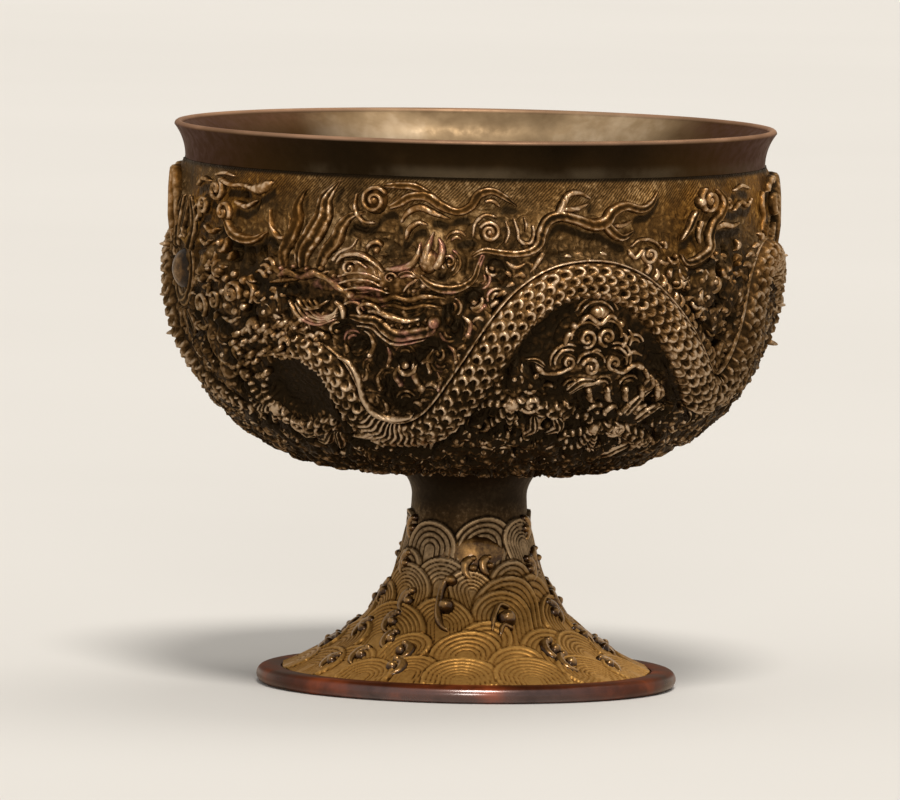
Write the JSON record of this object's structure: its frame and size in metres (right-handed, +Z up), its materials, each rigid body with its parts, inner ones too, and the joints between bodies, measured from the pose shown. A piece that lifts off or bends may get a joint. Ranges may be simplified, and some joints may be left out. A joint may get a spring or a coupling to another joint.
{
  "type": "goblet",
  "caption": "Footed bronze cup with a wide flared bowl in high relief of dragons among clouds, on a hollow stem and spreading foot with waves.",
  "frame": {"origin": "centre of the foot ring's underside, on the surface that the cup stands on", "axes": "+Z up along the cup's axis, front of the cup facing -Y, its right as seen from the front towards +X"},
  "size_m": [0.092, 0.0922, 0.084],
  "materials": {
    "liner_bronze": "worn, softly polished bronze with a brown patina on the lip",
    "shell_bronze": "dark brown patinated cast bronze with a finely tooled ground",
    "relief_bronze": "dark patina worn to pale bronze on the high spots",
    "foot_bronze": "cast bronze, dark at the stem and ochre gold on the foot",
    "ring_copper": "smooth reddish brown copper patina",
    "fixing_brass": "plain turned brass"
  },
  "bodies": {
    "root": {"liner": "liner_bronze", "shell": "shell_bronze", "stem_and_foot": "foot_bronze", "foot_ring": "ring_copper", "stud": "fixing_brass", "stud_washer": "fixing_brass", "stud_nut": "fixing_brass", "front_dragon_body": "relief_bronze", "front_dragon_head": "relief_bronze", "front_dragon_jaw": "relief_bronze", "front_dragon_crest": "relief_bronze", "front_dragon_mane": "relief_bronze", "front_dragon_foreleg_left": "relief_bronze", "front_dragon_foreleg_right": "relief_bronze", "front_dragon_hindleg": "relief_bronze", "front_pearl": "relief_bronze", "front_pearl_flames": "relief_bronze", "front_cloud_scroll": "relief_bronze", "front_cloud_ribbon": "relief_bronze", "front_cloud_knot": "relief_bronze", "front_cloud_arch": "relief_bronze", "front_cloud_side": "relief_bronze", "front_cloud_flower": "relief_bronze", "back_dragon_body": "relief_bronze", "back_dragon_head": "relief_bronze", "back_dragon_jaw": "relief_bronze", "back_dragon_crest": "relief_bronze", "back_dragon_mane": "relief_bronze", "back_dragon_foreleg_left": "relief_bronze", "back_dragon_foreleg_right": "relief_bronze", "back_dragon_hindleg": "relief_bronze", "back_pearl": "relief_bronze", "back_pearl_flames": "relief_bronze", "back_cloud_scroll": "relief_bronze", "back_cloud_ribbon": "relief_bronze", "back_cloud_knot": "relief_bronze", "back_cloud_arch": "relief_bronze", "back_cloud_side": "relief_bronze", "back_cloud_flower": "relief_bronze"}
  },
  "joints": []
}
